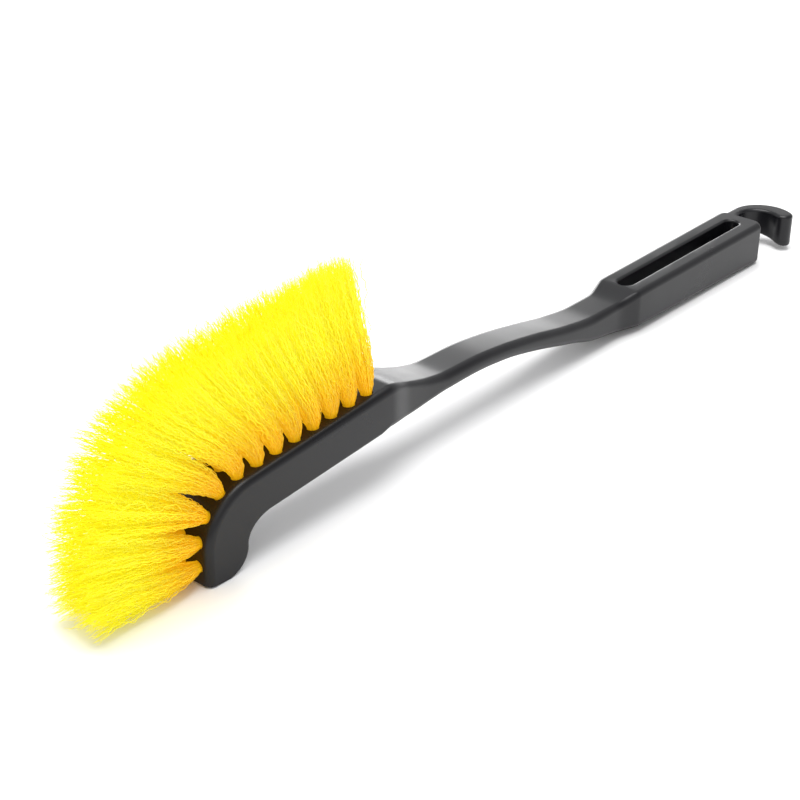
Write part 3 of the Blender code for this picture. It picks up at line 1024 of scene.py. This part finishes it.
def tube_mesh(name, paths, radii, reach, strand):
    """Thin closed tubes along paths, with their reach and strand values as attributes."""
    count, points = paths.shape[:2]
    ahead = np.gradient(paths, axis=1)
    ahead /= np.linalg.norm(ahead, axis=2, keepdims=True)
    side = np.cross(np.array([0.0, 1.0, 0.0]), ahead)
    side /= np.linalg.norm(side, axis=2, keepdims=True)
    other = np.cross(ahead, side)
    angles = np.arange(SIDES) / SIDES * math.tau
    rings = (
        paths[:, :, None]
        + radii[:, :, None, None]
        * (np.cos(angles)[:, None] * side[:, :, None] + np.sin(angles)[:, None] * other[:, :, None])
    )
    start = (np.arange(count) * points * SIDES)[:, None, None]
    ring = (np.arange(points - 1) * SIDES)[None, :, None]
    k = np.arange(SIDES)[None, None, :]
    after = (k + 1) % SIDES
    a = start + ring + k
    b = start + ring + after
    quads = np.stack([a, b, b + SIDES, a + SIDES], 3).reshape(-1, 4)
    first = start[:, 0] + np.arange(SIDES)[None, ::-1]
    last = start[:, 0] + (points - 1) * SIDES + np.arange(SIDES)[None]
    caps = np.concatenate([first, last])

    mesh = bpy.data.meshes.new(name)
    mesh.vertices.add(count * points * SIDES)
    mesh.vertices.foreach_set("co", rings.astype(np.float32).ravel())
    corners = np.concatenate([quads.ravel(), caps.ravel()])
    sizes = np.concatenate([np.full(len(quads), 4), np.full(len(caps), SIDES)])
    mesh.loops.add(len(corners))
    mesh.loops.foreach_set("vertex_index", corners.astype(np.int32))
    mesh.polygons.add(len(sizes))
    mesh.polygons.foreach_set("loop_start", (np.cumsum(sizes) - sizes).astype(np.int32))
    mesh.update(calc_edges=True)
    mesh.shade_smooth()
    for label, values in (("reach", reach), ("strand", strand)):
        layer = mesh.attributes.new(label, "FLOAT", "POINT")
        layer.data.foreach_set("value", np.repeat(values.ravel(), SIDES).astype(np.float32))
    lay_flat(mesh, quads, caps, count, points)
    return mesh


def lay_flat(mesh, quads, caps, count, points):
    """A map with each filament as its own strip, its sides next to each other."""
    strip = 1.0 / count
    lane = LANE_SHARE * strip / SIDES
    faces = np.arange(len(quads))
    filament = faces // ((points - 1) * SIDES)
    ring = faces // SIDES % (points - 1)
    side = faces % SIDES
    u = filament * strip + side * lane
    v = ring / (points - 1)
    step = 1.0 / (points - 1)
    quad_places = np.stack(
        [
            np.stack([u, v], 1),
            np.stack([u + lane, v], 1),
            np.stack([u + lane, v + step], 1),
            np.stack([u, v + step], 1),
        ],
        1,
    )
    cap_u = (np.tile(np.arange(count), 2) * strip)[:, None]
    cap_v = np.repeat([0.0, 1.0 - step], count)[:, None]
    spots = np.array([[0.0, 0.0], [lane, 0.0], [0.0, step]])
    cap_places = np.stack([cap_u + spots[None, :, 0], cap_v + spots[None, :, 1]], 2)
    layer = mesh.uv_layers.new(name=BAKE_MAP)
    places = np.concatenate([quad_places.reshape(-1, 2), cap_places.reshape(-1, 2)])
    layer.uv.foreach_set("vector", places.astype(np.float32).ravel())


def build_tuft(index, row, place, material, settings):
    """One tuft, with random draws of its own, kept clear of the floor."""
    rng = np.random.default_rng(settings.seed * 1000 + index * 10 + row)
    paths = folded_paths(index, row, place, rng, settings)
    turn = np.array(place.to_3x3())
    paths = paths @ turn.T + np.array(place.translation)
    paths[:, :, 2] = np.maximum(paths[:, :, 2], FLOOR_GAP)
    leg = np.linspace(0.0, 1.0, LEG_POINTS)
    one_way = np.concatenate([[0.0, 0.0], leg])
    reach = np.concatenate([one_way[::-1], [0.0], one_way])
    thin = 1 - (1 - TIP_SHARE) * smooth_step((reach - TAPER_START) / (1 - TAPER_START))
    radii = np.tile(thin * settings.filament_diameter / 2, (len(paths), 1))
    reach = np.tile(reach, (len(paths), 1))
    strand = np.repeat(rng.random(len(paths))[:, None], paths.shape[1], 1)
    name = f"tuft_{index + 1:02d}_{ROWS[row]}"
    tuft = add_object(name, tube_mesh(name, paths, radii, reach, strand), material)
    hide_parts(f"tuft_row_{index + 1:02d}")
    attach(tuft, "root")
    return tuft


# ---------------------------------------------------------------- stage


# Lights: where they hang and how wide they are
KEY_PLACE = (0.0, 0.05, 1.3)
KEY_SIZE = 1.1
FILL_PLACE = (-0.9, -0.8, 1.1)
FILL_SIZE = 1.2

# Glow of the room: its side, how near to it, between which heights, how strong
GLOW_SIDE = (0.56, 0.83, 0.0)
GLOW_NEAR = (0.84, 1.0)
GLOW_HEIGHTS = (0.15, 0.42)
GLOW_STRENGTH = 10.0

# Dark patch of the room: its direction, how near to it, how dark
DARK_SIDE = (0.5, -0.55, 0.67)
DARK_NEAR = (0.92, 0.99)
DARK_LEVEL = 0.3

# Floor and camera
FLOOR_RADIUS = 6.0
FLOOR_SIDES = 96
FLOOR_COLOUR = (0.86, 0.86, 0.865, 1.0)
FLOOR_ROUGHNESS = 0.6
SENSOR_WIDTH = 36.0
CLIP_START = 0.01


def add_area(name, place, size, power):
    """A round light that faces the middle of the floor."""
    light = bpy.data.lights.new(name, "AREA")
    light.shape = "DISK"
    light.size = size
    light.energy = power
    lamp = bpy.data.objects.new(name, light)
    bpy.context.scene.collection.objects.link(lamp)
    lamp.location = place
    lamp.rotation_mode = "QUATERNION"
    lamp.rotation_quaternion = (-Vector(place)).to_track_quat("-Z", "Y")


def towards(tree, place, side):
    """Output socket that says how near each direction of the room is to one side."""
    inputs = {0: place, 1: side}
    return add_node(tree, "ShaderNodeVectorMath", inputs, operation="DOT_PRODUCT").outputs["Value"]


def build_world(settings):
    """A white room: brighter low down beyond the brush, with a dark patch high on the near right."""
    world = bpy.data.worlds.new("white_room")
    bpy.context.scene.world = world
    world.use_nodes = True
    tree = world.node_tree
    back = tree.nodes["Background"]
    place = add_node(tree, "ShaderNodeTexCoord").outputs["Generated"]
    height = add_node(tree, "ShaderNodeSeparateXYZ", {"Vector": place}).outputs["Z"]
    low = spread(tree, height, GLOW_HEIGHTS, (1.0, 0.0), smooth=True)
    beyond = towards(tree, place, Vector(GLOW_SIDE))
    side = spread(tree, beyond, GLOW_NEAR, (0.0, GLOW_STRENGTH), smooth=True)
    inputs = {0: low, 1: side, 2: 1.0}
    glow = add_node(tree, "ShaderNodeMath", inputs, operation="MULTIPLY_ADD").outputs[0]
    above = towards(tree, place, Vector(DARK_SIDE).normalized())
    shade = spread(tree, above, DARK_NEAR, (1.0, DARK_LEVEL), smooth=True)
    shaded = product(tree, glow, shade)
    tree.links.new(product(tree, shaded, settings.surround), back.inputs["Strength"])
    back.inputs["Color"].default_value = (1.0, 1.0, 1.0, 1.0)


def build_stage(settings):
    """Floor, camera, lights and room."""
    bpy.ops.mesh.primitive_circle_add(vertices=FLOOR_SIDES, radius=FLOOR_RADIUS, fill_type="NGON")
    floor = bpy.context.object
    floor.name = "floor"
    material, _, shader = new_material("floor_white")
    shader.inputs["Base Color"].default_value = FLOOR_COLOUR
    shader.inputs["Roughness"].default_value = FLOOR_ROUGHNESS
    floor.data.materials.append(material)

    camera = bpy.data.cameras.new("camera")
    camera.lens = settings.lens
    camera.sensor_width = SENSOR_WIDTH
    camera.clip_start = CLIP_START
    eye = bpy.data.objects.new("camera", camera)
    bpy.context.scene.collection.objects.link(eye)
    pitch, turn = settings.camera_pitch, settings.camera_turn
    ahead = Vector((math.cos(pitch) * math.cos(turn), math.cos(pitch) * math.sin(turn), -math.sin(pitch)))
    eye.location = in_frame(settings.camera_place)
    eye.rotation_mode = "QUATERNION"
    eye.rotation_quaternion = ahead.to_track_quat("-Z", "Y")
    bpy.context.scene.camera = eye

    add_area("key", KEY_PLACE, KEY_SIZE, settings.key_power)
    add_area("fill", FILL_PLACE, FILL_SIZE, settings.fill_power)
    build_world(settings)
    bpy.context.scene.view_settings.view_transform = "Standard"


# ---------------------------------------------------------------- operators and panel


class WHEELBRUSH_OT_body(bpy.types.Operator):
    """Build the one-piece moulded body with its slot, hook and tuft holes"""

    bl_idname = "wheelbrush.body"
    bl_label = "Moulded body"

    def execute(self, context):
        build_body(context.scene.wheel_brush_body)
        return {"FINISHED"}


class WHEELBRUSH_OT_tufts(bpy.types.Operator):
    """Build the tufts of crimped filament, one piece for each hole"""

    bl_idname = "wheelbrush.tufts"
    bl_label = "Filament tufts"

    def execute(self, context):
        settings = context.scene.wheel_brush_tufts
        material = filament_material(settings)
        for index, row, place in tuft_places():
            build_tuft(index, row, place, material, settings)
        return {"FINISHED"}


class WHEELBRUSH_OT_anchors(bpy.types.Operator):
    """Give the flat wire anchors their steel"""

    bl_idname = "wheelbrush.anchors"
    bl_label = "Anchors"

    def execute(self, context):
        steel = steel_material(context.scene.wheel_brush_anchors)
        for name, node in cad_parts.items():
            if name.startswith("anchor_"):
                node.data.materials.clear()
                node.data.materials.append(steel)
        return {"FINISHED"}


class WHEELBRUSH_OT_stage(bpy.types.Operator):
    """Set up the floor, the camera and the studio light"""

    bl_idname = "wheelbrush.stage"
    bl_label = "Stage"

    def execute(self, context):
        build_stage(context.scene.wheel_brush_stage)
        return {"FINISHED"}


class WHEELBRUSH_PT_panel(bpy.types.Panel):
    """Lists the pieces of the wheel brush and their settings"""

    bl_idname = "WHEELBRUSH_PT_panel"
    bl_label = "Wheel brush"
    bl_space_type = "VIEW_3D"
    bl_region_type = "UI"
    bl_category = "Wheel brush"

    def draw(self, context):
        for operator, group in STEPS:
            box = self.layout.box()
            box.operator(operator.bl_idname)
            settings = getattr(context.scene, group)
            for name in settings.__annotations__:
                box.prop(settings, name)


STEPS = (
    (WHEELBRUSH_OT_stage, "wheel_brush_stage"),
    (WHEELBRUSH_OT_body, "wheel_brush_body"),
    (WHEELBRUSH_OT_anchors, "wheel_brush_anchors"),
    (WHEELBRUSH_OT_tufts, "wheel_brush_tufts"),
)
SETTINGS = {
    "wheel_brush_stage": StageSettings,
    "wheel_brush_body": BodySettings,
    "wheel_brush_anchors": AnchorSettings,
    "wheel_brush_tufts": TuftSettings,
}


def register():
    for name, group in SETTINGS.items():
        bpy.utils.register_class(group)
        setattr(bpy.types.Scene, name, bpy.props.PointerProperty(type=group))
    for operator, _ in STEPS:
        bpy.utils.register_class(operator)
    bpy.utils.register_class(WHEELBRUSH_PT_panel)


def unregister():
    bpy.utils.unregister_class(WHEELBRUSH_PT_panel)
    for operator, _ in STEPS:
        bpy.utils.unregister_class(operator)
    for name, group in SETTINGS.items():
        delattr(bpy.types.Scene, name)
        bpy.utils.unregister_class(group)


def main():
    register()
    bpy.ops.wheelbrush.stage()
    bpy.ops.wheelbrush.body()
    bpy.ops.wheelbrush.anchors()
    bpy.ops.wheelbrush.tufts()


if __name__ == "__main__":
    main()
